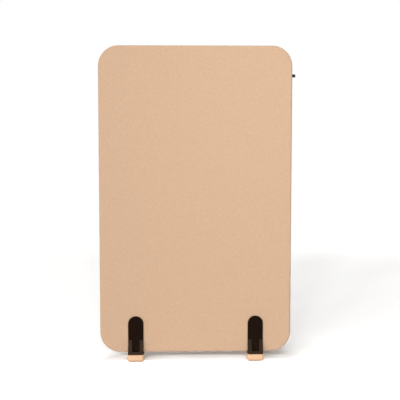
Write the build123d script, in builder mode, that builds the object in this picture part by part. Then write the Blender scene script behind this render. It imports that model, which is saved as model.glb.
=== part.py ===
from build123d import *
import os

os.makedirs("parts", exist_ok=True)

# Free-standing acoustic divider screen, in millimetres.
# X runs along the screen, -Y is its front, +Z is up. The origin is on the floor, below the panel's middle.

# Upholstered panel
panel_width = 1000
panel_height = 1596
panel_thickness = 44
corner_radius = 105
cover_skin = 3
cover_edge_radius = 9
edge_band_width = 8

# Timber frame inside the covers
frame_gap = 0.3
rail_width = 45
dowel_radius = 4
dowel_length = 40
dowel_spread = 18
dowel_fit = 0.1
dowel_end_gap = 1

# Septum board and felt cores inside the frame
septum_thickness = 3.2
groove_depth = 8
groove_fit = 0.3
core_fit = 0.3

# Woven tab in the right edge
tab_reach = 17
tab_height = 16
tab_drop = 153.5
tab_tape = 0.8
tab_fold_gap = 0.6
tab_slot_fit = 0.2

# Wooden foot blocks and the two felt strips that each stands on
foot_inset = 186.5
foot_width = 86
foot_depth = 124
foot_height = 34.5
foot_corner_radius = 14
foot_bottom_radius = 12
glide_length = 56
glide_width = 16
glide_corner_radius = 7
glide_thickness = 4
glide_proud = 1.5
glide_fit = 0.2
glide_spread = 72

# Saddle under the panel's lower edge
saddle_thickness = 5
saddle_edge_radius = 1
saddle_pad_thickness = 3
saddle_pad_depth = 38
saddle_pad_inset = 1

# Cast brackets, one on each face of the panel
bracket_width = 80
bracket_plate = 5
bracket_rise = 191
bracket_edge_radius = 1.2
bracket_pad_thickness = 1
bracket_pad_inset = 3
wedge_reach = 22
wedge_rise = 65
front_edge_rise = 4
lip_rise = 14
lip_wall = 7
cheek_width = 20
pocket_floor_thickness = 6
pocket_corner_radius = 2
core_out_wall = 4
core_out_height = 13
core_out_radius = 2

# Bolts and sleeves that clamp the brackets through the panel
bolt_radius = 4
bolt_head_radius = 7
bolt_head_height = 4.2
bolt_spacing = 55
bolt_hole_fit = 0.3
sleeve_radius = 6
sleeve_socket = 3
sleeve_length = 38
sleeve_end_wall = 4
sleeve_hole_fit = 0.3
thread_fit = 0.1
bolt_tip_gap = 4
bolt_hex_across = 5
bolt_hex_depth = 2.6

# Blocks inside the panel that take the bolts
fixing_block_width = 110
fixing_block_height = 126
fixing_block_fit = 0.3
fixing_screw_spread = 76
fixing_screw_length = 75

# Wood screws
screw_radius = 2.5
screw_head_radius = 4.8
screw_head_height = 3
screw_point = 5
screw_fit = 0.1
screw_hex_across = 3
screw_hex_depth = 1.8
foot_screw_length = 26
saddle_screw_length = 28
saddle_screw_spread = 54

overrun = 1

# Heights and depths that follow from the sizes above
foot_top = glide_proud + foot_height
saddle_top = foot_top + saddle_thickness
panel_bottom = saddle_top + saddle_pad_thickness
panel_middle = panel_bottom + panel_height / 2
half_thickness = panel_thickness / 2
frame_inset = cover_skin + frame_gap
frame_thickness = panel_thickness - 2 * cover_skin
core_inset = frame_inset + rail_width + core_fit
septum_inset = frame_inset + rail_width - groove_depth + groove_fit
rail_bottom = panel_bottom + frame_inset
rail_top = rail_bottom + rail_width
rail_length = panel_width - 2 * corner_radius
stile_length = panel_height - 2 * corner_radius
rail_reach = panel_height / 2 - frame_inset - rail_width / 2
stile_reach = panel_width / 2 - frame_inset - rail_width / 2
bracket_back = half_thickness + bracket_pad_thickness
plate_front = bracket_back + bracket_plate
bracket_front = plate_front + wedge_reach
bracket_top = panel_bottom + bracket_rise
bracket_arc_height = bracket_top - bracket_width / 2
wedge_top = panel_bottom + wedge_rise
front_edge_top = foot_top + front_edge_rise
lip_top = foot_top + lip_rise
pocket_floor = foot_top + pocket_floor_thickness
pocket_width = bracket_width - 2 * cheek_width
pocket_middle = (plate_front + bracket_front - lip_wall) / 2
bolt_heights = (bracket_arc_height, bracket_arc_height - bolt_spacing)
foot_reach = panel_width / 2 - foot_inset
foot_places = {"left": -foot_reach, "right": foot_reach}
bolt_points = [(x, height) for x in foot_places.values() for height in bolt_heights]

# The panel's middle plane faces the front; the front plane does the same with its origin on the floor.
panel_plane = Plane((0, 0, panel_middle), x_dir=(1, 0, 0), z_dir=(0, -1, 0))
front_plane = Plane((0, 0, 0), x_dir=(1, 0, 0), z_dir=(0, -1, 0))


def save(piece, name):
    """Labels a finished piece and writes its file."""
    piece.part.label = name
    export_step(piece.part, f"parts/{name}.step")


def panel_outline(inset, mode=Mode.ADD):
    """The panel's rounded rectangle, drawn in on all sides."""
    RectangleRounded(panel_width - 2 * inset, panel_height - 2 * inset, corner_radius - inset, mode=mode)


def build_screw(head_radius, head_height, shank_radius, length, point, hex_across, hex_depth):
    """A round-headed screw along Z, with its head on the origin plane and a hexagon recess."""
    with BuildPart() as screw:
        with BuildSketch(Plane.XZ):
            with BuildLine():
                crown = (0, head_height)
                rim = (head_radius, head_height / 2)
                TangentArc(crown, rim, tangent=(1, 0))
                Polyline(rim, (head_radius, 0), (shank_radius, 0), (shank_radius, point - length),
                         (0, -length), crown)
            make_face()
        revolve(axis=Axis.Z)
        with BuildSketch(Plane.XY.offset(head_height)):
            RegularPolygon(hex_across / 2, 6, major_radius=False)
        extrude(amount=-hex_depth, mode=Mode.SUBTRACT)
    return screw


def build_flat_screw(length):
    """A countersunk wood screw along Z, with the top of its head on the origin plane."""
    with BuildPart() as screw:
        with BuildSketch(Plane.XZ):
            with BuildLine():
                Polyline((0, 0), (screw_head_radius, 0), (screw_radius, screw_radius - screw_head_radius),
                         (screw_radius, screw_point - length), (0, -length), close=True)
            make_face()
        revolve(axis=Axis.Z)
        with BuildSketch(Plane.XY):
            RegularPolygon(screw_hex_across / 2, 6, major_radius=False)
        extrude(amount=-screw_hex_depth, mode=Mode.SUBTRACT)
    return screw


def place_dowels(radius, length, mode=Mode.ADD):
    """Two round bars across each of the frame's eight joints."""
    rail_joints = [
        Location((x, y, panel_middle + z), (0, 90, 0))
        for x in (-rail_length / 2, rail_length / 2)
        for y in (-dowel_spread / 2, dowel_spread / 2)
        for z in (-rail_reach, rail_reach)
    ]
    stile_joints = [
        Location((x, y, panel_middle + z))
        for x in (-stile_reach, stile_reach)
        for y in (-dowel_spread / 2, dowel_spread / 2)
        for z in (-stile_length / 2, stile_length / 2)
    ]
    with Locations(*rail_joints, *stile_joints):
        Cylinder(radius, length, mode=mode)


def cut_bolt_holes(plane, points, radius, depth):
    """Round holes at points of a plane, cut along its normal."""
    with BuildSketch(plane) as holes:
        with Locations(*points):
            Circle(radius)
    extrude(holes.sketch, amount=depth, mode=Mode.SUBTRACT)


# Cover: a shallow tray of fabric on lining with a rounded rim. Its cavity follows the skin's thickness.
with BuildPart() as cover_cavity:
    with BuildSketch(panel_plane.offset(edge_band_width / 2)):
        panel_outline(cover_skin)
    extrude(amount=frame_thickness / 2 - edge_band_width / 2)
    fillet(cover_cavity.faces().sort_by(Axis.Y)[0].edges(), cover_edge_radius - cover_skin)

with BuildPart() as front_cover:
    with BuildSketch(panel_plane.offset(edge_band_width / 2)):
        panel_outline(0)
    extrude(amount=half_thickness - edge_band_width / 2)
    fillet(front_cover.faces().sort_by(Axis.Y)[0].edges(), cover_edge_radius)
    add(cover_cavity.part, mode=Mode.SUBTRACT)
    cut_bolt_holes(front_plane, bolt_points, sleeve_radius + sleeve_hole_fit, half_thickness)
save(front_cover, "front_cover")

with BuildPart() as rear_cover:
    mirror(front_cover.part, about=Plane.XZ)
save(rear_cover, "rear_cover")

# The woven band closes the slit between the covers and has a slot for the tab.
tab_height_above_floor = panel_bottom + panel_height - tab_drop
tab_thickness = 2 * tab_tape + tab_fold_gap
with BuildPart() as edge_band:
    with BuildSketch(panel_plane):
        panel_outline(0)
        panel_outline(cover_skin, mode=Mode.SUBTRACT)
    extrude(amount=edge_band_width / 2, both=True)
    with BuildSketch(Plane((0, 0, tab_height_above_floor))):
        with Locations((panel_width / 2 - cover_skin / 2, 0)):
            Rectangle(cover_skin + 2 * overrun, tab_thickness + 2 * tab_slot_fit)
    extrude(amount=tab_height / 2 + tab_slot_fit, both=True, mode=Mode.SUBTRACT)
save(edge_band, "edge_band")

# The tab is a tape folded once at its outer end, with both ends sewn into the slot.
tab_root = panel_width / 2 - cover_skin
tab_fold = panel_width / 2 + tab_reach - tab_thickness / 2
with BuildPart() as label_tab:
    with BuildSketch(Plane((0, 0, tab_height_above_floor))):
        with Locations(((tab_root + tab_fold) / 2, 0)):
            Rectangle(tab_fold - tab_root, tab_thickness)
        with Locations((tab_fold, 0)):
            Circle(tab_thickness / 2)
        with Locations(((tab_root + tab_fold) / 2, 0)):
            Rectangle(tab_fold - tab_root, tab_fold_gap, mode=Mode.SUBTRACT)
        with Locations((tab_fold, 0)):
            Circle(tab_fold_gap / 2, mode=Mode.SUBTRACT)
    extrude(amount=tab_height / 2, both=True)
save(label_tab, "label_tab")

# Frame: one ring with a groove and dowel bores, which is then parted at the ends of its corners.
groove_width = septum_thickness + 2 * groove_fit
with BuildPart() as frame_ring:
    with BuildSketch(panel_plane):
        panel_outline(frame_inset)
        panel_outline(frame_inset + rail_width, mode=Mode.SUBTRACT)
    extrude(amount=frame_thickness / 2, both=True)
    outer_rims = [face.outer_wire().edges() for face in frame_ring.faces().filter_by(Plane.XZ)]
    fillet([edge for rim in outer_rims for edge in rim], cover_edge_radius - cover_skin)
    with BuildSketch(panel_plane):
        panel_outline(frame_inset + rail_width - groove_depth)
        panel_outline(frame_inset + rail_width + overrun, mode=Mode.SUBTRACT)
    extrude(amount=groove_width / 2, both=True, mode=Mode.SUBTRACT)
    place_dowels(dowel_radius + dowel_fit, dowel_length + 2 * dowel_end_gap, Mode.SUBTRACT)

with BuildPart() as frame_top_rail:
    add(frame_ring.part)
    with BuildSketch(panel_plane):
        with Locations((0, (panel_height - corner_radius) / 2)):
            Rectangle(rail_length, corner_radius)
    extrude(amount=half_thickness, both=True, mode=Mode.INTERSECT)
save(frame_top_rail, "frame_top_rail")

fixing_screw_places = [
    (x + offset, 0)
    for x in foot_places.values()
    for offset in (-fixing_screw_spread / 2, fixing_screw_spread / 2)
]
with BuildPart() as frame_bottom_rail:
    add(frame_ring.part)
    with BuildSketch(panel_plane):
        with Locations((0, (corner_radius - panel_height) / 2)):
            Rectangle(rail_length, corner_radius)
    extrude(amount=half_thickness, both=True, mode=Mode.INTERSECT)
    with Locations(Plane((0, 0, rail_bottom), x_dir=(1, 0, 0), z_dir=(0, 0, -1))):
        with Locations(*fixing_screw_places):
            CounterSinkHole(screw_radius + screw_fit, screw_head_radius + screw_fit)
save(frame_bottom_rail, "frame_bottom_rail")

for side, direction in (("left", -1), ("right", 1)):
    with BuildPart() as frame_stile:
        add(frame_ring.part)
        with BuildSketch(panel_plane):
            with Locations((direction * (panel_width - corner_radius) / 2, 0)):
                Rectangle(corner_radius, stile_length)
        extrude(amount=half_thickness, both=True, mode=Mode.INTERSECT)
    save(frame_stile, f"frame_{side}_stile")

with BuildPart() as frame_corner_blocks:
    add(frame_ring.part)
    with BuildSketch(panel_plane):
        with GridLocations(panel_width - corner_radius, panel_height - corner_radius, 2, 2):
            Rectangle(corner_radius, corner_radius)
    extrude(amount=half_thickness, both=True, mode=Mode.INTERSECT)
save(frame_corner_blocks, "frame_corner_blocks")

with BuildPart() as frame_dowels:
    place_dowels(dowel_radius, dowel_length)
save(frame_dowels, "frame_dowels")

# Fixing blocks stand on the bottom rail and fill the panel's depth behind each bracket.
fixing_block_middle = rail_top + fixing_block_height / 2
fixing_block_points = [(x, fixing_block_middle) for x in foot_places.values()]
with BuildPart() as bracket_fixing_blocks:
    with BuildSketch(front_plane):
        with Locations(*fixing_block_points):
            Rectangle(fixing_block_width, fixing_block_height)
        with Locations(*bolt_points):
            Circle(sleeve_radius + sleeve_hole_fit, mode=Mode.SUBTRACT)
    extrude(amount=frame_thickness / 2, both=True)
    with BuildSketch(Plane((0, 0, rail_top))):
        with Locations(*fixing_screw_places):
            Circle(screw_radius + screw_fit)
    extrude(amount=fixing_screw_length - rail_width + overrun, mode=Mode.SUBTRACT)
save(bracket_fixing_blocks, "bracket_fixing_blocks")

flat_fixing_screw = build_flat_screw(fixing_screw_length)
with BuildPart() as fixing_block_screws:
    with Locations(Plane((0, 0, rail_bottom), x_dir=(1, 0, 0), z_dir=(0, 0, -1))):
        with Locations(*fixing_screw_places):
            add(flat_fixing_screw.part)
save(fixing_block_screws, "fixing_block_screws")

# The septum and both cores are notched round the fixing blocks, down to their lower edges.
notch_top = rail_top + fixing_block_height + fixing_block_fit
notch_points = [(x, (panel_bottom + notch_top) / 2) for x in foot_places.values()]
notch_width = fixing_block_width + 2 * fixing_block_fit


def notch_for_blocks():
    """Cuts the space of both fixing blocks out of a sheet or slab."""
    with BuildSketch(front_plane) as notches:
        with Locations(*notch_points):
            Rectangle(notch_width, notch_top - panel_bottom)
    extrude(notches.sketch, amount=half_thickness, both=True, mode=Mode.SUBTRACT)


with BuildPart() as septum_board:
    with BuildSketch(panel_plane):
        panel_outline(septum_inset)
    extrude(amount=septum_thickness / 2, both=True)
    notch_for_blocks()
save(septum_board, "septum_board")

with BuildPart() as acoustic_core_front:
    with BuildSketch(panel_plane.offset(septum_thickness / 2)):
        panel_outline(core_inset)
    extrude(amount=(frame_thickness - septum_thickness) / 2)
    notch_for_blocks()
save(acoustic_core_front, "acoustic_core_front")

with BuildPart() as acoustic_core_rear:
    mirror(acoustic_core_front.part, about=Plane.XZ)
save(acoustic_core_rear, "acoustic_core_rear")

# Bracket casting, facing the front. An upright plate with a round top runs down into a wedge that leans
# forward nearly to the wood. An open pocket parts the wedge above its lip, so that cheeks and lip make a U.
with BuildPart() as bracket_casting:
    with BuildSketch(front_plane.offset(bracket_back)):
        with Locations((0, (foot_top + bracket_arc_height) / 2)):
            Rectangle(bracket_width, bracket_arc_height - foot_top)
        with Locations((0, bracket_arc_height)):
            Circle(bracket_width / 2)
    extrude(amount=bracket_plate)
    with BuildSketch(Plane((0, 0, 0), x_dir=(0, -1, 0), z_dir=(-1, 0, 0))):
        with BuildLine():
            Polyline((plate_front, wedge_top), (bracket_front, front_edge_top), (bracket_front, foot_top),
                     (bracket_back, foot_top), (bracket_back, wedge_top), close=True)
        make_face()
    extrude(amount=bracket_width / 2, both=True)
    rim_edges = bracket_casting.edges().filter_by_position(Axis.Y, -bracket_front, -plate_front)
    fillet([edge for edge in rim_edges if abs(edge.tangent_at(1 / 2).X) < 1 / 2 or
            edge.geom_type == GeomType.CIRCLE], bracket_edge_radius)
    with BuildSketch(front_plane.offset(plate_front)):
        with Locations((0, (lip_top + wedge_top) / 2)):
            Rectangle(pocket_width, wedge_top - lip_top)
    extrude(amount=wedge_reach + overrun, mode=Mode.SUBTRACT)
    with BuildSketch(Plane((0, 0, pocket_floor))):
        with Locations((0, -pocket_middle)):
            RectangleRounded(pocket_width, wedge_reach - lip_wall, pocket_corner_radius)
    extrude(amount=lip_top - pocket_floor + overrun, mode=Mode.SUBTRACT)
    core_out_depth = bracket_front - lip_wall - bracket_back - core_out_wall
    core_out_middle = bracket_back + core_out_wall + core_out_depth / 2
    with BuildSketch(Plane((0, 0, foot_top))):
        with Locations((0, -core_out_middle)):
            with GridLocations(bracket_width - cheek_width, bracket_front, 2, 1):
                RectangleRounded(cheek_width - 2 * core_out_wall, core_out_depth, core_out_radius)
    extrude(amount=core_out_height, mode=Mode.SUBTRACT)
    with Locations((0, -pocket_middle, pocket_floor)):
        Hole(screw_radius + screw_fit, pocket_floor_thickness)

bracket_bolt = build_screw(bolt_head_radius, bolt_head_height, bolt_radius,
                           plate_front + bracket_back + sleeve_socket - sleeve_end_wall - bolt_tip_gap,
                           bolt_radius / 2, bolt_hex_across, bolt_hex_depth)
foot_screw = build_screw(screw_head_radius, screw_head_height, screw_radius,
                         foot_screw_length, screw_point, screw_hex_across, screw_hex_depth)
saddle_screw = build_flat_screw(saddle_screw_length)
bracket_screw_places = [(0, -pocket_middle), (0, pocket_middle)]
saddle_screw_places = [(-saddle_screw_spread / 2, 0), (saddle_screw_spread / 2, 0)]

for side, foot_x in foot_places.items():
    foot_bolt_points = [(foot_x, height) for height in bolt_heights]

    # Wooden block with soft lower edges, square upper edges, and recesses for its two glides.
    with BuildPart() as foot_block:
        with BuildSketch(Plane((foot_x, 0, glide_proud))):
            RectangleRounded(foot_width, foot_depth, foot_corner_radius)
        extrude(amount=foot_height)
        fillet(foot_block.faces().sort_by(Axis.Z)[0].edges(), foot_bottom_radius)
        with BuildSketch(Plane((foot_x, 0, glide_proud))):
            with GridLocations(0, glide_spread, 1, 2):
                RectangleRounded(glide_length + 2 * glide_fit, glide_width + 2 * glide_fit,
                                 glide_corner_radius + glide_fit)
        extrude(amount=glide_thickness - glide_proud, mode=Mode.SUBTRACT)
        with Locations(Plane((foot_x, 0, foot_top))):
            with Locations(*bracket_screw_places):
                Hole(screw_radius + screw_fit, foot_screw_length - pocket_floor_thickness + overrun)
            with Locations(*saddle_screw_places):
                Hole(screw_radius + screw_fit, saddle_screw_length - saddle_thickness + overrun)
    save(foot_block, f"{side}_foot_block")

    with BuildPart() as floor_glides:
        with BuildSketch(Plane((foot_x, 0, 0))):
            with GridLocations(0, glide_spread, 1, 2):
                RectangleRounded(glide_length, glide_width, glide_corner_radius)
        extrude(amount=glide_thickness)
    save(floor_glides, f"{side}_floor_glides")

    # Saddle plate between the two brackets, as wide as the wood, with a rubber strip on top.
    with BuildPart() as saddle_plate:
        with BuildSketch(Plane((foot_x, 0, foot_top))):
            Rectangle(foot_width, 2 * bracket_back)
        extrude(amount=saddle_thickness)
        fillet(saddle_plate.edges().filter_by(Axis.Z), saddle_edge_radius)
        with Locations(Plane((foot_x, 0, saddle_top))):
            with Locations(*saddle_screw_places):
                CounterSinkHole(screw_radius + screw_fit, screw_head_radius + screw_fit)
    save(saddle_plate, f"{side}_saddle_plate")

    with BuildPart() as saddle_pad:
        with BuildSketch(Plane((foot_x, 0, saddle_top))):
            Rectangle(foot_width - 2 * saddle_pad_inset, saddle_pad_depth)
        extrude(amount=saddle_pad_thickness)
    save(saddle_pad, f"{side}_saddle_pad")

    with BuildPart() as saddle_screws:
        with Locations(Plane((foot_x, 0, saddle_top))):
            with Locations(*saddle_screw_places):
                add(saddle_screw.part)
    save(saddle_screws, f"{side}_saddle_screws")

    # The front bracket has blind sockets in its back for the sleeves, the rear one has bolt holes.
    with BuildPart() as front_bracket:
        with Locations((foot_x, 0, 0)):
            add(bracket_casting.part)
        cut_bolt_holes(front_plane.offset(bracket_back), foot_bolt_points, sleeve_radius, sleeve_socket)
    save(front_bracket, f"{side}_front_bracket")

    with BuildPart() as rear_bracket:
        with Locations(Location((foot_x, 0, 0), (0, 0, 180))):
            add(bracket_casting.part)
        cut_bolt_holes(front_plane, foot_bolt_points, bolt_radius + bolt_hole_fit, -plate_front)
    save(rear_bracket, f"{side}_rear_bracket")

    # A thin felt pad lies between each upright and the fabric.
    with BuildPart() as bracket_pads:
        pad_bottom = panel_bottom + cover_edge_radius
        with BuildSketch(front_plane.offset(half_thickness), front_plane.offset(-bracket_back)):
            with Locations((foot_x, (pad_bottom + bracket_arc_height) / 2)):
                Rectangle(bracket_width - 2 * bracket_pad_inset, bracket_arc_height - pad_bottom)
            with Locations((foot_x, bracket_arc_height)):
                Circle(bracket_width / 2 - bracket_pad_inset)
            with Locations(*foot_bolt_points):
                Circle(sleeve_radius + sleeve_hole_fit, mode=Mode.SUBTRACT)
        extrude(amount=bracket_pad_thickness)
    save(bracket_pads, f"{side}_bracket_pads")

    # Threaded sleeves cross the panel from the front bracket, blind at the front.
    with BuildPart() as sleeve_nuts:
        with BuildSketch(front_plane.offset(bracket_back + sleeve_socket)):
            with Locations(*foot_bolt_points):
                Circle(sleeve_radius)
        extrude(amount=-sleeve_length)
        sleeve_bottom = bracket_back + sleeve_socket - sleeve_length
        cut_bolt_holes(front_plane.offset(sleeve_bottom), foot_bolt_points,
                       bolt_radius + thread_fit, sleeve_length - sleeve_end_wall)
    save(sleeve_nuts, f"{side}_sleeve_nuts")

    with BuildPart() as bracket_bolts:
        with Locations(Plane((0, plate_front, 0), x_dir=(1, 0, 0), z_dir=(0, 1, 0))):
            with Locations(*[(foot_x, -height) for height in bolt_heights]):
                add(bracket_bolt.part)
    save(bracket_bolts, f"{side}_bracket_bolts")

    with BuildPart() as foot_screws:
        with Locations(Plane((foot_x, 0, pocket_floor))):
            with Locations(*bracket_screw_places):
                add(foot_screw.part)
    save(foot_screws, f"{side}_foot_screws")
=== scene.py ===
# %% [markdown]
# # A free-standing acoustic screen
# The real thing is an upholstered panel that stands between black brackets on two small wooden feet. Its
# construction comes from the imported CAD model, which is loaded here as a fixed frame. This script gives it
# its looks: cloth, wood, paint, felt, light and a camera. Nothing on the screen moves.

# %% Load the frame
import bpy
import bmesh
import math
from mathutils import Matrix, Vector, noise


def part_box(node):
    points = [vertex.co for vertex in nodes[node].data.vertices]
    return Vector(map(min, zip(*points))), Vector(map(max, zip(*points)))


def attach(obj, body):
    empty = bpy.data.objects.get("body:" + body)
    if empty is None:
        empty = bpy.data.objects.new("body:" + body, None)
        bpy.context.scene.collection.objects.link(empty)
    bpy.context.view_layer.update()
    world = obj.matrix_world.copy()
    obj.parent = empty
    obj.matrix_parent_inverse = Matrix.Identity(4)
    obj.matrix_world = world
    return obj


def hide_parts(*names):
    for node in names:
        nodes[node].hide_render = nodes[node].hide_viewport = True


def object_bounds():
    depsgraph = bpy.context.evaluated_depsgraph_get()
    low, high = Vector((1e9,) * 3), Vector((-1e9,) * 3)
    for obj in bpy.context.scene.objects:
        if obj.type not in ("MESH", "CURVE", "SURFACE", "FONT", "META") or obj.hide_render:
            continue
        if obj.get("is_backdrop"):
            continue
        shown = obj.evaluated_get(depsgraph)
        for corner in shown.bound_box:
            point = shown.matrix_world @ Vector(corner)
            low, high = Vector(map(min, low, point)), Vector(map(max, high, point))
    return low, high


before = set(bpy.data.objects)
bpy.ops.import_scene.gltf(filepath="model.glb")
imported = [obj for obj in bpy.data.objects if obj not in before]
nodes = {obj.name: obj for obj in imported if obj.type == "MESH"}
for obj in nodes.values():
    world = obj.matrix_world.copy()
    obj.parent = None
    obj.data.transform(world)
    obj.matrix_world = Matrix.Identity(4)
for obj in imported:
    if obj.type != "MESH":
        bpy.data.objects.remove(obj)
cad_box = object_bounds()
print(len(nodes), "CAD nodes, box", [round(v, 4) for corner in cad_box for v in corner])

# %% [markdown]
# ## Sizes that the looks share with the frame
# Lengths are in metres. Most are read off the boxes of the CAD nodes, so that the cloth always fits the
# frame that it is pulled over. A box can't say how round an edge is, so the radii of the panel's corners
# and of its rim are written here.

# %% Sizes
PANEL_LOW, PANEL_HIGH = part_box("front_cover")
HALF_W = PANEL_HIGH.x
HALF_H = (PANEL_HIGH.z - PANEL_LOW.z) / 2
MIDDLE_Z = (PANEL_HIGH.z + PANEL_LOW.z) / 2
HALF_T = -PANEL_LOW.y
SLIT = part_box("edge_band")[1].y  # from the middle of the panel to the wall of the slit
CORNER = 0.105
RIM = 0.009
print("panel", round(2 * HALF_W, 3), "x", round(2 * HALF_H, 3), "x", round(2 * HALF_T, 3), "m")


# %% [markdown]
# ## Shader maths that reads like maths
# A shader is a graph of nodes, and made by hand, one formula soon takes a page. So `Socket` wraps one
# output of a node and takes part in sums: `a * 2 + b` adds the two Math nodes that work it out.

# %% Sockets that can be added and multiplied
class Socket:
    """One output of a shader node, used like a number."""

    def __init__(self, graph, output):
        self.graph, self.output = graph, output

    def beside(self, output):
        """Another output of the same node."""
        return Socket(self.graph, self.output.node.outputs[output])

    def math(self, operation, *others, flip=False):
        values = [*others, self] if flip else [self, *others]
        return self.graph.node("ShaderNodeMath", {"operation": operation}, dict(enumerate(values)))

    def __add__(self, other): return self.math("ADD", other)
    def __radd__(self, other): return self.math("ADD", other)
    def __sub__(self, other): return self.math("SUBTRACT", other)
    def __rsub__(self, other): return self.math("SUBTRACT", other, flip=True)
    def __mul__(self, other): return self.math("MULTIPLY", other)
    def __rmul__(self, other): return self.math("MULTIPLY", other)
    def __truediv__(self, other): return self.math("DIVIDE", other)
    def __rtruediv__(self, other): return self.math("DIVIDE", other, flip=True)
    def sin(self): return self.math("SINE")
    def floor(self): return self.math("FLOOR")
    def fract(self): return self.math("FRACT")
    def max(self, other): return self.math("MAXIMUM", other)
    def root(self): return self.math("SQRT")

    def ramp(self, low, high):
        """Goes smoothly from 0 to 1 while this value goes from low to high."""
        return self.graph.node("ShaderNodeMapRange", {"interpolation_type": "SMOOTHSTEP"},
                               {0: self, 1: low, 2: high})


print("sockets can be added and multiplied")


# %% [markdown]
# `Graph` holds the nodes of a material or of the world. Its method `node` makes any kind of node from its
# type, its settings and what goes into its sockets, and the short methods after it are the few kinds that
# come back again and again. Colours are mixed by a Mix node, because a Math node would turn them grey.

# %% Graphs
class Graph:
    """The nodes of a material or of the world."""

    def __init__(self, tree):
        self.tree = tree

    def node(self, kind, settings=None, sockets=None, output=0):
        """A new node. Its settings come first, because they decide which sockets it has."""
        made = self.tree.nodes.new(kind)
        for key, value in (settings or {}).items():
            setattr(made, key, value)
        for key, value in (sockets or {}).items():
            self.plug(value, made.inputs[key])
        return Socket(self, made.outputs[output])

    def plug(self, value, target):
        """Links a socket to a node's input, or writes a plain value there."""
        if isinstance(value, Socket):
            self.tree.links.new(value.output, target)
        else:
            target.default_value = value

    def place(self):
        """The point's place in the object's own space, in metres."""
        return self.node("ShaderNodeTexCoord", output="Object")

    def parts(self, vector):
        """The x, y and z of a vector."""
        x = self.node("ShaderNodeSeparateXYZ", sockets={0: vector})
        return x, x.beside("Y"), x.beside("Z")

    def point(self, x, y, z):
        return self.node("ShaderNodeCombineXYZ", sockets={0: x, 1: y, 2: z})

    def scaled(self, vector, factors):
        return self.node("ShaderNodeVectorMath", {"operation": "MULTIPLY"}, {0: vector, 1: factors})

    def noise(self, vector, scale, detail, rough=0.5):
        """Clouds from 0 to 1. Scale is how many fit in a metre, detail how many finer layers they have."""
        return self.node("ShaderNodeTexNoise",
                         sockets={"Vector": vector, "Scale": scale, "Detail": detail, "Roughness": rough})

    def mix(self, share, a, b):
        """The colour a where share is 0, b where it is 1, and a blend between."""
        return self.node("ShaderNodeMix", {"data_type": "RGBA"}, {0: share, 6: a, 7: b}, output=2)


print("graphs can make nodes")


# %% [markdown]
# Every finish here is one Principled shader, which can be cloth, wood, paint or metal by its values alone,
# and which other programs understand too. `Shader` is a new material with such a surface. Colours are
# written as a picture shows them, but light adds up in another scale, so `rgb` turns the one into the other.

# %% Materials and colours
class Shader(Graph):
    """A material whose surface is one Principled shader. Values go into its sockets of that name."""

    def __init__(self, name, **values):
        self.material = bpy.data.materials.new(name)
        self.material.use_nodes = True
        super().__init__(self.material.node_tree)
        self.surface = self.tree.nodes["Principled BSDF"]
        for key, value in values.items():
            self.feed(key.replace("_", " "), value)

    def feed(self, name, value):
        self.plug(value, self.surface.inputs[name])

    def bump(self, height, depth):
        """Height goes from 0 to 1, and depth says how many metres that is."""
        self.feed("Normal", self.node("ShaderNodeBump", sockets={"Distance": depth, "Height": height}))


def rgb(red, green, blue):
    """A picture colour, 0 to 255, as the linear colour that shaders use."""
    def linear(v):
        v /= 255
        return v / 12.92 if v <= 0.04045 else ((v + 0.055) / 1.055) ** 2.4
    return (linear(red), linear(green), linear(blue), 1.0)


print("a middle grey of 128 is", round(rgb(128, 128, 128)[0], 3), "in linear light")


# %% [markdown]
# ## Woven cloth
# The panel wears a fine plain weave in light brown, the band at its edge is a denser tape, and the tab is a
# black ribbon. A picture of cloth would repeat and blur close up, and modelled threads would be millions of
# faces. A plain weave is regular, so a formula can draw it at any distance. Two sets of threads pass over
# and under each other in turn: each thread's height is a half round across it times a slow wave along it,
# and the higher of the two shows. Every thread has its own tone, as in a yarn spun from mixed fibres.

# %% Cloth materials
def woven(name, tones, pitch, depth, mottle, **values):
    """Plain weave in the cloth's own flat coordinates. Tones are its dark, middle and light fibre colours.
    Pitch is the width of a thread, depth its relief, mottle the strength of broad clouds in the colour."""
    cloth = Shader(name, **values)
    flat = cloth.node("ShaderNodeUVMap", {"uv_map": "cloth"})
    # u and v count the threads of each set, which are never quite straight
    sway = cloth.noise(flat, 90, 3) - 0.5
    across, along, _ = cloth.parts(flat)
    u = (across + sway * pitch * 0.5) / pitch
    v = (along + sway * pitch * 0.4) / pitch

    def threads(own, other):
        """Their height: round across, with every second crossing low, and shifted from thread to thread."""
        wave = ((other + own.floor()) * math.pi).sin() * 0.5 + 0.5
        return (own.fract() * math.pi).sin().max(0).root() * (0.35 + wave * 0.65)

    warp, weft = threads(u, v), threads(v, u + 1)
    height = warp.max(weft)
    # one tone for each thread, and the upper thread's tone shows
    warp_tone = cloth.noise(cloth.point(u.floor() * 7.3, v * 0.13, 0), 1, 2)
    weft_tone = cloth.noise(cloth.point(u * 0.13, v.floor() * 7.3, 5), 1, 2)
    tone = weft_tone + (warp_tone - weft_tone) * (warp - weft).ramp(-0.05, 0.05)
    # fibres are finer than a thread, and clouds are as wide as some ten threads
    fibre = cloth.noise(flat, 2600, 3, 0.6)
    cloud = cloth.noise(flat, 60, 4, 0.65)
    share = (tone - 0.5) * 1.1 + (fibre - 0.5) * 0.5 + (cloud - 0.5) * mottle + 0.5
    dark, middle, light = tones
    colour = cloth.mix(share.ramp(0.1, 0.5), dark, middle)
    colour = cloth.mix(share.ramp(0.5, 0.9), colour, light)
    # the gaps between threads get painted shade, and the crowns are rubbed a little smoother
    crown = height.ramp(0.15, 0.75)
    cloth.feed("Base Color", cloth.mix(crown, cloth.mix(0.4, colour, dark), colour))
    cloth.feed("Roughness", 0.95 - crown * 0.1)
    cloth.bump(height * 0.85 + fibre * 0.15, depth)
    return cloth.material


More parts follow.
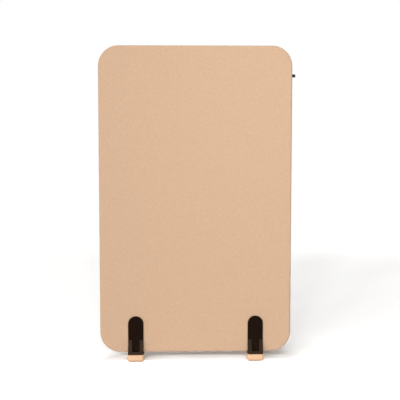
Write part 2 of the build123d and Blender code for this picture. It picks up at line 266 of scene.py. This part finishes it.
panel_cloth = woven(
    "panel cloth", [rgb(152, 121, 95), rgb(178, 149, 124), rgb(196, 171, 147)],
    pitch=0.0013, depth=0.00022, mottle=0.1, Specular_IOR_Level=0.15, Sheen_Weight=0.25, Sheen_Roughness=0.5)
band_cloth = woven(
    "band cloth", [rgb(140, 111, 87), rgb(162, 135, 111), rgb(179, 156, 132)],
    pitch=0.0009, depth=0.00016, mottle=0.5, Specular_IOR_Level=0.15, Sheen_Weight=0.2, Sheen_Roughness=0.5)
tab_cloth = woven(
    "tab cloth", [rgb(14, 13, 13), rgb(27, 26, 26), rgb(44, 43, 42)],
    pitch=0.0006, depth=0.0001, mottle=0.4, Specular_IOR_Level=0.2, Sheen_Weight=0.3, Sheen_Roughness=0.4)
print("panel cloth weave takes", len(panel_cloth.node_tree.nodes), "shader nodes")


# %% [markdown]
# ## Wood
# The feet are small blocks of pale, fine-grained wood with a thin finish, and the frame inside is plain
# timber. Stripes drawn on each face would not meet at the edges. But a board is a cut through a trunk, so
# its growth rings are cylinders round an axis that lies outside the board. One pattern in space therefore
# gives long grain on the faces and arcs on the ends. The lowest part of the feet gets painted shade: the
# wood turns darker towards the floor.

# %% Wood materials
FLOOR_SHADE_HEIGHTS = (0.001, 0.016)  # heights above the floor, in metres, between which the painted shade thins out


def wooden(name, tones, axis, heart, ring, floor_shade=0.0, **values):
    """Tones are early wood, late wood and fleck. The grain runs along axis 0 or 2, heart is the trunk's
    middle, and ring the width of a year's growth. The last argument is how far the lowest wood is turned
    towards the fleck's tone, as painted shade near the floor."""
    wood = Shader(name, **values)
    x, y, z = wood.parts(wood.place())
    along, a, b = (x, y, z) if axis == 0 else (z, x, y)
    # a trunk is never quite straight, and its rings are never quite even
    slow = wood.noise(wood.point(along * 2.5, a * 9, b * 9), 1, 3)
    fast = wood.noise(wood.point(along * 12, a * 160, b * 160), 1, 3)
    a, b = a - heart[0] + (slow - 0.5) * 0.03, b - heart[1]
    reach = (a * a + b * b).root() + (fast - 0.5) * ring * 0.5
    # a ring darkens slowly towards the late wood and ends at once
    year = (reach / ring).fract()
    late = year.ramp(0.25, 0.95) * (1 - year.ramp(0.95, 1.0))
    # fibres are long and thin, and flecks are short dark pores
    fibre = wood.noise(wood.point(along * 60, a * 2400, b * 2400), 1, 3, 0.6)
    fleck = wood.noise(wood.point(along * 350, a * 1500, b * 1500), 1, 1).ramp(0.66, 0.74)
    colour = wood.mix(late * 0.55 + (fibre - 0.5) * 0.5, tones[0], tones[1])
    colour = wood.mix(fleck * 0.45, colour, tones[2])
    # painted shade: the wood turns towards the fleck's tone close to the floor
    if floor_shade:
        colour = wood.mix((1 - z.ramp(*FLOOR_SHADE_HEIGHTS)) * floor_shade * (0.6 + slow * 0.8), colour, tones[2])
    wood.feed("Base Color", colour)
    wood.feed("Roughness", 0.42 + fibre * 0.16 + late * 0.05)
    wood.bump(fibre * 0.6 - fleck * 0.4 + late * 0.2, depth=0.00006)
    return wood.material


TIMBER = [rgb(222, 190, 140), rgb(188, 144, 92), rgb(160, 116, 70)]
foot_wood = wooden("foot wood", [rgb(198, 163, 131), rgb(182, 141, 104), rgb(146, 108, 75)],
                   axis=0, heart=(0.03, -0.11), ring=0.0034, floor_shade=0.4, Coat_Weight=0.12, Coat_Roughness=0.35)
timber_long = wooden("frame timber, lying", TIMBER, axis=0, heart=(0.08, 0.02), ring=0.005)
timber_up = wooden("frame timber, standing", TIMBER, axis=2, heart=(0.02, 0.09), ring=0.005)
dowel_wood = wooden("dowel wood", [rgb(226, 198, 158), rgb(206, 172, 126), rgb(176, 136, 92)],
                    axis=0, heart=(0.0, 0.0), ring=0.002)
print("foot wood grain takes", len(foot_wood.node_tree.nodes), "shader nodes")


# %% [markdown]
# ## Paint, steel, rubber and board
# The brackets have a powder coat, nearly black and satin. An even black would look like plastic, so the
# coat has a very fine uneven skin. Near the floor it gets faint lighter patches, which are a painted
# highlight on the low faces. The same recipe with other tones gives the screws, the rubber and the board
# inside, so that the model can be taken apart.

# %% Coats and skins
def coated(name, tones, grain, depth, rough, low_highlight_heights=None, **values):
    """A skin of fine grains, so many to the metre and depth high. Tones are its usual, its lighter and, with
    the last argument, its painted highlight colour. That argument gives the two heights between which the
    patches of painted highlight thin out."""
    coat = Shader(name, **values)
    place = coat.place()
    fine = coat.noise(place, grain, 2)
    broad = coat.noise(place, 35, 3, 0.6)
    colour = coat.mix(broad * 0.6 + fine * 0.4, tones[0], tones[1])
    gloss = rough + (fine - 0.5) * 0.12 + (broad - 0.5) * 0.1
    # painted highlight: lighter, slightly rougher patches low down, where light falls on the lip and cheeks
    if low_highlight_heights:
        low = 1 - coat.parts(place)[2].ramp(*low_highlight_heights)
        painted_highlight = coat.noise(coat.scaled(place, (1, 1, 3)), 130, 3).ramp(0.45, 0.75) * low
        colour = coat.mix(painted_highlight * 0.3, colour, tones[2])
        gloss = gloss + painted_highlight * 0.12
    coat.feed("Base Color", colour)
    coat.feed("Roughness", gloss)
    coat.bump(fine, depth)
    return coat.material


powder_coat = coated("black powder coat", [rgb(13, 6, 3), rgb(21, 12, 7), rgb(74, 58, 44)],
                     grain=2600, depth=0.00004, rough=0.31, low_highlight_heights=(0.036, 0.12),
                     Specular_IOR_Level=0.055, Specular_Tint=(1.0, 0.7, 0.5, 1.0))
black_oxide = coated("black oxide", [rgb(24, 23, 22), rgb(40, 38, 36)],
                     grain=1800, depth=0.00002, rough=0.35, Metallic=0.6)
zinc = coated("zinc plate", [rgb(168, 170, 172), rgb(206, 206, 200)],
              grain=900, depth=0.00002, rough=0.3, Metallic=1.0)
rubber = coated("black rubber", [rgb(18, 18, 18), rgb(30, 30, 30)], grain=1200, depth=0.00005, rough=0.75)
hardboard = coated("hardboard", [rgb(120, 88, 60), rgb(150, 114, 80)], grain=700, depth=0.00008, rough=0.6)
print("powder coat takes", len(powder_coat.node_tree.nodes), "shader nodes")

# %% [markdown]
# ## Which node gets which material
# The hard CAD nodes keep their shapes and get a material each. Cut wood and bent plate have no knife-sharp
# edges, and an edge without any roundness catches no light. So the pieces that show get a weld, which joins
# the CAD mesh's seams, and then a small bevel. Both are modifiers, which leave the mesh itself alone.

# %% Dress the hard nodes
SAME_PLACE = 0.00001
SHARP = math.radians(40)
# the material of each kind of piece, and the width of its worn edges
HARD = {
    "foot_block": (foot_wood, 0.0008),
    "front_bracket": (powder_coat, 0.0004), "rear_bracket": (powder_coat, 0.0004),
    "saddle_plate": (powder_coat, 0.0004), "saddle_pad": (rubber, 0.0003),
    "bracket_bolts": (black_oxide, 0), "foot_screws": (black_oxide, 0),
    "sleeve_nuts": (zinc, 0), "saddle_screws": (zinc, 0), "fixing_block_screws": (zinc, 0),
    "frame_top_rail": (timber_long, 0), "frame_bottom_rail": (timber_long, 0),
    "frame_left_stile": (timber_up, 0), "frame_right_stile": (timber_up, 0),
    "frame_corner_blocks": (timber_long, 0), "bracket_fixing_blocks": (timber_up, 0),
    "frame_dowels": (dowel_wood, 0), "septum_board": (hardboard, 0),
}
for name, node in nodes.items():
    kind = name if name in HARD else name.removeprefix("left_").removeprefix("right_")
    if kind not in HARD:
        continue
    material, bevel = HARD[kind]
    node.data.materials.clear()
    node.data.materials.append(material)
    if bevel:
        weld = node.modifiers.new("weld", "WELD")
        weld.merge_threshold = SAME_PLACE
        worn = node.modifiers.new("worn edges", "BEVEL")
        worn.width, worn.segments, worn.limit_method, worn.angle_limit = bevel, 2, "ANGLE", SHARP
print(sum(bool(node.data.materials) for node in nodes.values()), "nodes dressed")

# %% [markdown]
# ## The two covers
# On the real screen a cover is one sheet of cloth, pulled over a face of the panel and tucked into a slit
# that runs round its edge. A cloth simulation could pull it, but the shape of cloth under tension over a
# smooth frame can be worked out, and then it comes out the same each time. The sheet has a flat middle, and
# from there rows of vertices go outwards. First comes the outline that these rows follow: a core rectangle,
# whose sides send columns straight out and whose corners send them out as fans.

# %% The outline
CELL = 0.010
FAN_STEPS = 24
CORE_W, CORE_H = HALF_W - CORNER, HALF_H - CORNER
TAB_LOW, TAB_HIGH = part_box("label_tab")
TAB_Z = (TAB_LOW.z + TAB_HIGH.z) / 2 - MIDDLE_Z
SLOT_FIT = 0.0002
SLOT_Z, SLOT_Y = (TAB_HIGH.z - TAB_LOW.z) / 2 + SLOT_FIT, TAB_HIGH.y + SLOT_FIT
SLOT_ENDS = (TAB_Z - SLOT_Z, TAB_Z + SLOT_Z)


def spread(start, end, step=CELL, extra=()):
    """Evenly spaced numbers from start to end, with some more where a join needs them."""
    count = max(1, round(abs(end - start) / step))
    even = {start + (end - start) * i / count for i in range(count + 1)}
    return sorted(even | set(extra), reverse=end < start)


def outline_columns():
    """Once round the panel: a point of the core rectangle, the direction outwards, and the share of a
    corner's turn that is behind it, which is 0 along the sides."""
    left, right, low, high = -CORE_W, CORE_W, -CORE_H, CORE_H
    sides = [((left, low), (right, low), -90), ((right, low), (right, high), 0),
             ((right, high), (left, high), 90), ((left, high), (left, low), 180)]
    columns = []
    for (x0, z0), (x1, z1), angle in sides:
        way = (math.cos(math.radians(angle)), math.sin(math.radians(angle)))
        if x0 == x1:
            places = [(x0, z) for z in spread(z0, z1, extra=SLOT_ENDS if x0 == right else ())]
        else:
            places = [(x, z0) for x in spread(x0, x1)]
        columns += [(place, way, 0) for place in places]
        for step in range(1, FAN_STEPS):
            turn = math.radians(angle + 90 * step / FAN_STEPS)
            columns.append(((x1, z1), (math.cos(turn), math.sin(turn)), step / FAN_STEPS))
    return columns


COLUMNS = outline_columns()
print(len(COLUMNS), "columns once round the panel")

# %% [markdown]
# The rows lead from the face over the rim, down the side and round a tight bend into the slit. Each holds
# the way along the cloth as well as its place, because the way is what the tailor measures: from it come
# the size of the cut sheet and the flat coordinates of the weave.

# %% The rows
FACE_STEPS, RIM_STEPS, SIDE_STEPS, BEND_STEPS = 12, 9, 4, 3
BEND = 0.001                         # radius of the bend into the slit
SLIT_FIT = 0.0002                    # room between the cover and the band
TUCK_WAY, TUCK_IN = 0.0033, 0.0028   # from the side's end to the hidden hem: along the cloth, and inwards


def cover_rows():
    """From the flat middle outwards: way along the cloth, reach from the core, and forward of the middle."""
    flat = CORNER - RIM
    rows = [(flat * i / FACE_STEPS, flat * i / FACE_STEPS, HALF_T) for i in range(FACE_STEPS + 1)]
    for i in range(1, RIM_STEPS + 1):
        turn = math.pi / 2 * i / RIM_STEPS
        rows.append((flat + RIM * turn, flat + RIM * math.sin(turn), HALF_T - RIM + RIM * math.cos(turn)))
    start = flat + RIM * math.pi / 2
    side = HALF_T - RIM - SLIT - SLIT_FIT - BEND
    rows += [(start + side * i / SIDE_STEPS, CORNER, HALF_T - RIM - side * i / SIDE_STEPS)
             for i in range(1, SIDE_STEPS + 1)]
    for i in range(1, BEND_STEPS + 1):
        turn = math.pi / 2 * i / BEND_STEPS
        rows.append((start + side + BEND * turn, CORNER - BEND * (1 - math.cos(turn)),
                     SLIT + SLIT_FIT + BEND * (1 - math.sin(turn))))
    rows.append((start + side + TUCK_WAY, CORNER - TUCK_IN, SLIT + SLIT_FIT))
    return rows


ROWS = cover_rows()
TUCK = ROWS[-1][0] - CORNER
CUT = (2 * (HALF_W + TUCK), 2 * (HALF_H + TUCK))
print("a cover is cut to", [round(v, 4) for v in CUT], "m")


# %% [markdown]
# A few helpers turn lines of vertices into a finished sheet. The flat place that each vertex carries
# becomes a UV map, so that the weave follows the cloth round every edge. A thin sheet then gets its
# thickness from a Solidify modifier, which keeps the mesh as simple as the cloth on the tailor's table.

# %% Helpers for sheets
def cells(lines, closed=False):
    """The four corners of every cell between neighbouring lines of vertices."""
    after = lines[1:] + lines[:1] if closed else lines[1:]
    return [(a[j], a[j + 1], b[j + 1], b[j]) for a, b in zip(lines, after) for j in range(len(a) - 1)]


def turned_out(bm, direction):
    """Turns all faces to the outside, as judged by the one that lies furthest in a direction."""
    bmesh.ops.recalc_face_normals(bm, faces=bm.faces)
    furthest = max(bm.faces, key=lambda face: face.calc_center_median().dot(direction))
    if furthest.normal.dot(direction) < 0:
        bmesh.ops.reverse_faces(bm, faces=bm.faces)


def added(name, data):
    """A new object in the scene."""
    made = bpy.data.objects.new(name, data)
    bpy.context.scene.collection.objects.link(made)
    return made


def finished(bm, name, material, flat_place=None):
    """Turns a bmesh into a smooth object, with the cloth's flat coordinates as a UV map if it has them."""
    if flat_place is not None:
        layer = bm.loops.layers.uv.new("cloth")
        for face in bm.faces:
            for loop in face.loops:
                loop[layer].uv = loop.vert[flat_place].xy
    for face in bm.faces:
        face.smooth = True
    mesh = bpy.data.meshes.new(name)
    bm.to_mesh(mesh)
    bm.free()
    mesh.materials.append(material)
    return added(name, mesh)


def hung(piece, node, cut, thickness, offset=-1):
    """Gives a sheet its thickness, inwards (-1) or both ways (0), and says what it is and where it lies."""
    thick = piece.modifiers.new("thickness", "SOLIDIFY")
    thick.thickness, thick.offset = thickness, offset
    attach(piece, "root")
    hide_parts(node)
    print(piece.name, len(piece.data.polygons), "faces, cut to", [round(v, 4) for v in cut])


print("helpers ready")

# %% [markdown]
# Stretched cloth is never quite even. Two layers of noise let the face sink by about half a millimetre, and
# round each corner, where the cloth has too much length, small gathers run down the side. The bolts of the
# brackets pass through holes in the cloth, which the brackets hide.

# %% Build the covers
WAVES = ((3.1, 4.0, 0.0005), (19, 9.0, 0.00012))  # waves in a metre, layer of the noise, depth in metres
GATHER_DEPTH = 0.00025
HEAD_RADIUS, HOLE_RADIUS = 0.007, 0.0075
CLOTH_THICKNESS = 0.0012
BOLT_LOW, BOLT_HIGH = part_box("right_bracket_bolts")
BOLT_X = (BOLT_LOW.x + BOLT_HIGH.x) / 2
BOLT_ZS = (BOLT_LOW.z + HEAD_RADIUS, BOLT_HIGH.z - HEAD_RADIUS)
BOLTS = [(side * BOLT_X, z) for side in (-1, 1) for z in BOLT_ZS]


def build_cover(name, facing):
    """A cover sheet. Facing is -1 in front and 1 at the back."""
    bm = bmesh.new()
    flat_place = bm.verts.layers.float_vector.new("flat")

    def vertex(core, way, fan, along, out, forward):
        x, z = core[0] + way[0] * out, core[1] + way[1] * out
        face = max(0.0, min(1.0, (forward - HALF_T + RIM) / RIM))
        for often, layer, depth in WAVES:
            wave = noise.noise(Vector((x * often, z * often, layer * facing))) * 0.5 + 0.5
            forward -= face * depth * wave
        side = (1 - face) * max(0.0, forward - SLIT) / (HALF_T - RIM - SLIT)
        # no two gathers are alike, within a corner and from corner to corner
        uneven = 1 + noise.noise(Vector((fan * 34, core[0] * 9, core[1] * 5)))
        gather = GATHER_DEPTH * math.sin(math.pi * fan) * side * uneven
        made = bm.verts.new((x - way[0] * gather, facing * forward, z - way[1] * gather + MIDDLE_Z))
        made[flat_place] = (core[0] + way[0] * along, core[1] + way[1] * along, 0)
        return made

    ring = [[vertex(core, way, fan, *row) for row in ROWS] for core, way, fan in COLUMNS]
    xs, zs = spread(-CORE_W, CORE_W), spread(-CORE_H, CORE_H, extra=SLOT_ENDS)
    middle = [[vertex((x, z), (0, 0), 0, *ROWS[0]) for x in xs] for z in zs]
    for corners in cells(ring, closed=True) + cells(middle):
        bm.faces.new(corners)
    bmesh.ops.remove_doubles(bm, verts=bm.verts, dist=2 * SAME_PLACE)
    holes = [face for face in bm.faces
             if any(math.dist((vert.co.x, vert.co.z), bolt) < HOLE_RADIUS
                    for vert in face.verts for bolt in BOLTS)]
    bmesh.ops.delete(bm, geom=holes, context="FACES")
    turned_out(bm, Vector((0, facing, 0)))
    return finished(bm, name, panel_cloth, flat_place)


for side, facing in (("front", -1), ("rear", 1)):
    hung(build_cover(f"{side}_cover_cloth", facing), f"{side}_cover", cut=CUT,
         thickness=CLOTH_THICKNESS)

# %% [markdown]
# ## The band
# A woven tape lies in the slit between the covers, once round the panel, and its edges turn in between
# them. It could be a plain loop of faces, but a tape that is pulled round an edge lies a little crowned, so
# it follows a profile from its middle to its hidden edge. It leaves the tab's slot open.

# %% Build the band
TAPE_THICKNESS = 0.0006
BAND_SUNK = 0.0001  # how far the band stays inside the outline of the covers
BAND_CUT = 0.0128   # width of the tape when it lies flat
# from the middle to the hidden edge: place across the tape, and how far it has sunk there
BAND_HALF = [(0, 0.0), (SLOT_Y, 0.0), (0.0026, 0.0001), (0.0034, 0.0003), (0.0039, 0.0008), (0.0039, 0.0026)]


def build_band():
    """The tape between the covers, with the tab's slot cut out."""
    bm = bmesh.new()
    flat_place = bm.verts.layers.float_vector.new("flat")
    profile = [(-y, sunk) for y, sunk in BAND_HALF[:0:-1]] + BAND_HALF
    middle = len(BAND_HALF) - 1
    ring, along = [], 0.0
    for core, way, _ in COLUMNS:
        outs = [CORNER - sunk - BAND_SUNK for _, sunk in profile]
        line = [bm.verts.new((core[0] + way[0] * out, y, core[1] + way[1] * out + MIDDLE_Z))
                for out, (y, _) in zip(outs, profile)]
        if ring:
            along += (line[middle].co - ring[-1][middle].co).length
        for made, (y, _) in zip(line, profile):
            made[flat_place] = (y, along, 0)
        ring.append(line)
    for corners in cells(ring, closed=True):
        bm.faces.new(corners)
    centres = [(face, face.calc_center_median()) for face in bm.faces]
    slot = [face for face, at in centres
            if at.x > 0 and abs(at.z - MIDDLE_Z - TAB_Z) < SLOT_Z and abs(at.y) < SLOT_Y]
    bmesh.ops.delete(bm, geom=slot, context="FACES")
    turned_out(bm, Vector((1, 0, 0)))
    return finished(bm, "edge_band_tape", band_cloth, flat_place)


ROUND = 4 * (CORE_W + CORE_H) + 2 * math.pi * CORNER
hung(build_band(), "edge_band", cut=(BAND_CUT, ROUND),
     thickness=TAPE_THICKNESS)

# %% [markdown]
# ## The tab
# The tab is a short black ribbon, folded once, with both its ends in the slot of the band. A box would have
# its outline, but not its fold. So a path goes out, round the fold and back. Where the ribbon stands free,
# it bends and hangs by less than a millimetre.

# %% Build the tab
TAB_STEP, TAB_ROW = 0.001, 0.0008
FOLD = 0.0007                                    # radius of the fold
END_TRIM, SIDE_TRIM = 0.0003, 0.0001             # how far the ends and the long edges stay inside the CAD box
DROOP, BEND_BACK, CURL = 0.0006, 0.0009, 0.0012  # how far the free end hangs, bends back and curls


def build_tab():
    """The folded ribbon, and the length and width of the piece that it is cut from."""
    bm = bmesh.new()
    flat_place = bm.verts.layers.float_vector.new("flat")
    root, tip = TAB_LOW.x + END_TRIM, TAB_HIGH.x
    turns = spread(0, math.pi, math.pi / 6)[1:-1]
    path = [(x, -FOLD) for x in spread(root, tip - FOLD, TAB_STEP)]
    path += [(tip - FOLD + FOLD * math.sin(turn), -FOLD * math.cos(turn)) for turn in turns]
    path += [(x, FOLD) for x in spread(tip - FOLD, root, TAB_STEP)]
    rows = spread(TAB_LOW.z + SIDE_TRIM, TAB_HIGH.z - SIDE_TRIM, TAB_ROW)
    lines, along, last = [], 0.0, path[0]
    for x, y in path:
        along += math.dist((x, y), last)
        last = (x, y)
        free = max(0.0, (x - HALF_W) / (tip - HALF_W))
        line = []
        for z in rows:
            across = (z - rows[0]) / (rows[-1] - rows[0]) - 0.5
            bend = BEND_BACK * free ** 2 - CURL * free * across ** 2
            made = bm.verts.new((x, y + bend, z - DROOP * free ** 2))
            made[flat_place] = (along, z, 0)
            line.append(made)
        lines.append(line)
    for corners in cells(list(zip(*lines))):
        bm.faces.new(corners)
    bmesh.ops.recalc_face_normals(bm, faces=bm.faces)
    return finished(bm, "label_tab_tape", tab_cloth, flat_place), (along, rows[-1] - rows[0])


tab, tab_cut = build_tab()
hung(tab, "label_tab", cut=tab_cut,
     thickness=TAPE_THICKNESS, offset=0)


# %% [markdown]
# ## Felt
# The slabs inside, the pads behind the brackets and the strips under the feet are felt: fibres matted
# together, without threads. Its colour is noise of two sizes laid over each other. Its shape starts from
# the outline of the CAD solid. Cut felt has no sharp edge, so the edges are rounded, and it is never quite
# flat, so its faces get small dents.

# %% Felt materials
def felted(name, tones, depth):
    """Matted fibres: curls and tufts laid over each other."""
    felt = Shader(name, Roughness=1.0, Sheen_Weight=0.3)
    place = felt.place()
    curl = felt.noise(place, 1400, 4, 0.7)
    tuft = felt.noise(place, 260, 3, 0.6)
    share = curl.ramp(0.3, 0.7) * 0.7 + tuft.ramp(0.3, 0.7) * 0.3
    felt.feed("Base Color", felt.mix(share, tones[0], tones[1]))
    felt.bump(curl * 0.5 + tuft * 0.5, depth)
    return felt.material


core_felt = felted("core felt", [rgb(120, 120, 116), rgb(176, 176, 170)], depth=0.0005)
pad_felt = felted("pad felt", [rgb(16, 16, 16), rgb(40, 39, 38)], depth=0.0002)
glide_felt = felted("glide felt", [rgb(84, 78, 70), rgb(132, 124, 112)], depth=0.0004)
print("three kinds of felt")

# %% [markdown]
# The CAD mesh is made of triangles, so the flat ones are joined again before the edges are rounded.
# Otherwise the bevel would also follow lines that run across a flat face.

# %% Build the felt pieces
NEARLY_FLAT = math.radians(1)
DENTS = 90  # dents in a metre


def softened(name, node, material, edge, dent):
    """A felt piece with the outline of a CAD solid, rounded by edge and dented by dent."""
    bm = bmesh.new()
    bm.from_mesh(nodes[node].data)
    bmesh.ops.remove_doubles(bm, verts=bm.verts, dist=SAME_PLACE)
    bmesh.ops.dissolve_limit(bm, angle_limit=NEARLY_FLAT, verts=bm.verts, edges=bm.edges)
    sharp = [e for e in bm.edges if len(e.link_faces) == 2 and e.calc_face_angle() > SHARP]
    bmesh.ops.bevel(bm, geom=sharp, offset=edge, segments=3, profile=0.5, affect="EDGES", clamp_overlap=True)
    bmesh.ops.triangulate(bm, faces=[f for f in bm.faces if len(f.verts) > 4])
    for vert in bm.verts:
        vert.co -= vert.normal * dent * (0.5 + 0.5 * noise.noise(vert.co * DENTS))
    return finished(bm, name, material)


# node, material, slot, rounding and dent
FELT = [(f"acoustic_core_{side}", core_felt, "core_felt", 0.002, 0.0002) for side in ("front", "rear")]
for side in ("left", "right"):
    FELT += [(f"{side}_bracket_pads", pad_felt, "pad_felt", 0.0003, 0.00003),
             (f"{side}_floor_glides", glide_felt, "glide_felt", 0.0005, 0.0)]
for node, material, slot, edge, dent in FELT:
    pad = softened(f"{node}_felt", node, material, edge, dent)
    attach(pad, "root")
    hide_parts(node)
print(len(FELT), "felt pieces")

# %% [markdown]
# ## Camera
# The picture is taken from a little above the middle of the screen and from nearly five metres away, with a
# long lens, so that upright edges stay almost parallel. A wide lens close by would bend the view of the
# feet. The camera stands a little to the left of the screen's middle and looks a little to the right.

# %% Camera
LOOK_DOWN, LOOK_RIGHT = math.radians(4.651), math.radians(1.712)
camera = added("camera", bpy.data.cameras.new("camera"))
bpy.context.scene.camera = camera
camera.data.lens = 81.0
camera.data.clip_end = 100
camera.location = (-0.116, -4.678, 1.224)
camera.rotation_euler = (math.radians(90) - LOOK_DOWN, 0, -LOOK_RIGHT)
print("camera", round(camera.location.length, 2), "m from the middle of the floor")

# %% [markdown]
# ## Lamps
# The screen is lit by a wide soft light from the front and left. One large lamp close by would light the
# near side of the panel more than the far side, so the light is a row of suns instead. Each is weak, and
# together they blur the shadows. Lower ones on the left reach under the panel, two high ones light the
# floor more than the panel, and one from behind keeps the back from going black. A round lamp in front adds
# a little to the upper right.

# %% Lamps
KEY_TURNS = range(-16, 60, 10)
KEY_POWERS = (0.15, 0.43, 0.57, 0.6, 0.55, 0.4, 0.24, 0.2)
WARM, PLAIN = (1.0, 0.985, 0.96), (1.0, 1.0, 1.0)
# name, degrees above the floor, degrees to the left of the front, strength, width in degrees, tint
LAMPS = [(f"key {turn}", 21.5, turn, power, 6, WARM) for turn, power in zip(KEY_TURNS, KEY_POWERS)]
LAMPS += [("low left", 12, 45, 0.24, 7, WARM), ("low far left", 12, 58, 0.22, 7, WARM),
          ("left", 36, 75, 0.14, 7, WARM), ("high", 78, 30, 0.2, 6, PLAIN),
          ("top", 84.8, 35, 0.6, 4.5, PLAIN), ("rear", 7, 212, 1.5, 6, PLAIN)]
for name, height, turn, power, width, tint in LAMPS:
    lamp = added(name, bpy.data.lights.new(name, "SUN"))
    lamp.data.energy, lamp.data.angle, lamp.data.color = power, math.radians(width), tint
    lamp.rotation_euler = (math.radians(90 - height), 0, math.radians(-turn))
print(len(LAMPS), "suns, together", round(sum(lamp[3] for lamp in LAMPS), 2))

GLOW_PLACE, GLOW_AIM = Vector((0.5, -2.0, 1.75)), Vector((0.18, 0.0, 1.3))
glow = added("glow", bpy.data.lights.new("glow", "AREA"))
glow.data.shape, glow.data.size, glow.data.energy = "DISK", 1.2, 18
glow.location = GLOW_PLACE
glow.rotation_euler = (GLOW_AIM - GLOW_PLACE).to_track_quat("-Z", "Y").to_euler()
print("a round lamp of", glow.data.energy, "watts")


# %% [markdown]
# ## White surroundings
# The picture's background is plain white. White walls round the screen would do that, but their light would
# also wash out the shading of the cloth. A shader can ask what kind of ray meets it: the camera, mirrors
# and glass see a white world and a white floor that still takes the shadow. All other rays get a nearly
# dark world and a duller floor.

# %% The world
def told_apart(graph, usual, seen):
    """Camera, mirror and glass rays meet the seen shader, and all others meet the usual one."""
    ray = graph.node("ShaderNodeLightPath", output="Is Camera Ray")
    share = ray.max(ray.beside("Is Glossy Ray")).max(ray.beside("Is Transmission Ray"))
    return graph.node("ShaderNodeMixShader", sockets={0: share, 1: usual, 2: seen})


world = bpy.data.worlds.new("studio")
bpy.context.scene.world = world
world.use_nodes = True
air = Graph(world.node_tree)
air.tree.nodes.remove(air.tree.nodes["Background"])
backdrop, ambient = (air.node("ShaderNodeBackground", sockets={"Color": (1, 1, 1, 1), "Strength": strength})
                     for strength in (1.0, 0.03))
air.plug(told_apart(air, ambient, backdrop), air.tree.nodes["World Output"].inputs["Surface"])
bpy.context.scene.view_settings.view_transform = "Standard"
print("white world")

# %% [markdown]
# The floor is one large sheet under the feet. Its far edge would show as a faint line against the world, so
# some metres away the seen floor fades into plain white, and no horizon shows.

# %% The floor
FADE = (5, 9)       # metres from the middle of the floor
FLOOR_REACH = 30    # metres from there to its edge
SEEN_WHITE = 1.36   # brighter than any real floor, so that the lit parts reach the white of the world
vinyl = Shader("floor", Roughness=0.8, Specular_IOR_Level=0.1, Base_Color=(0.8, 0.8, 0.8, 1))
wash = vinyl.node("ShaderNodeBsdfDiffuse", sockets={"Color": (SEEN_WHITE, SEEN_WHITE, SEEN_WHITE, 1)})
paper = vinyl.node("ShaderNodeEmission")
x, y, _ = vinyl.parts(vinyl.place())
away = (x * x + y * y).root()
faded = vinyl.node("ShaderNodeMixShader", sockets={0: away.ramp(*FADE), 1: wash, 2: paper})
usual = Socket(vinyl, vinyl.surface.outputs[0])
vinyl.plug(told_apart(vinyl, usual, faded), vinyl.tree.nodes["Material Output"].inputs["Surface"])
bm = bmesh.new()
bmesh.ops.create_grid(bm, x_segments=8, y_segments=8, size=FLOOR_REACH)
floor = finished(bm, "floor", vinyl.material)
floor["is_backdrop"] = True
print("a floor of", round(floor.dimensions.x), "m")

# %% [markdown]
# ## Measure and finish
# The looks must not outgrow the construction, so both boxes are written down side by side before the
# render.

# %% Measure and finish
sizes = {"cad": [list(c) for c in cad_box], "visual": [list(c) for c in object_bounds()]}
for box, (low, high) in sizes.items():
    print(box, "box is", [round(b - a, 4) for a, b in zip(low, high)], "m")
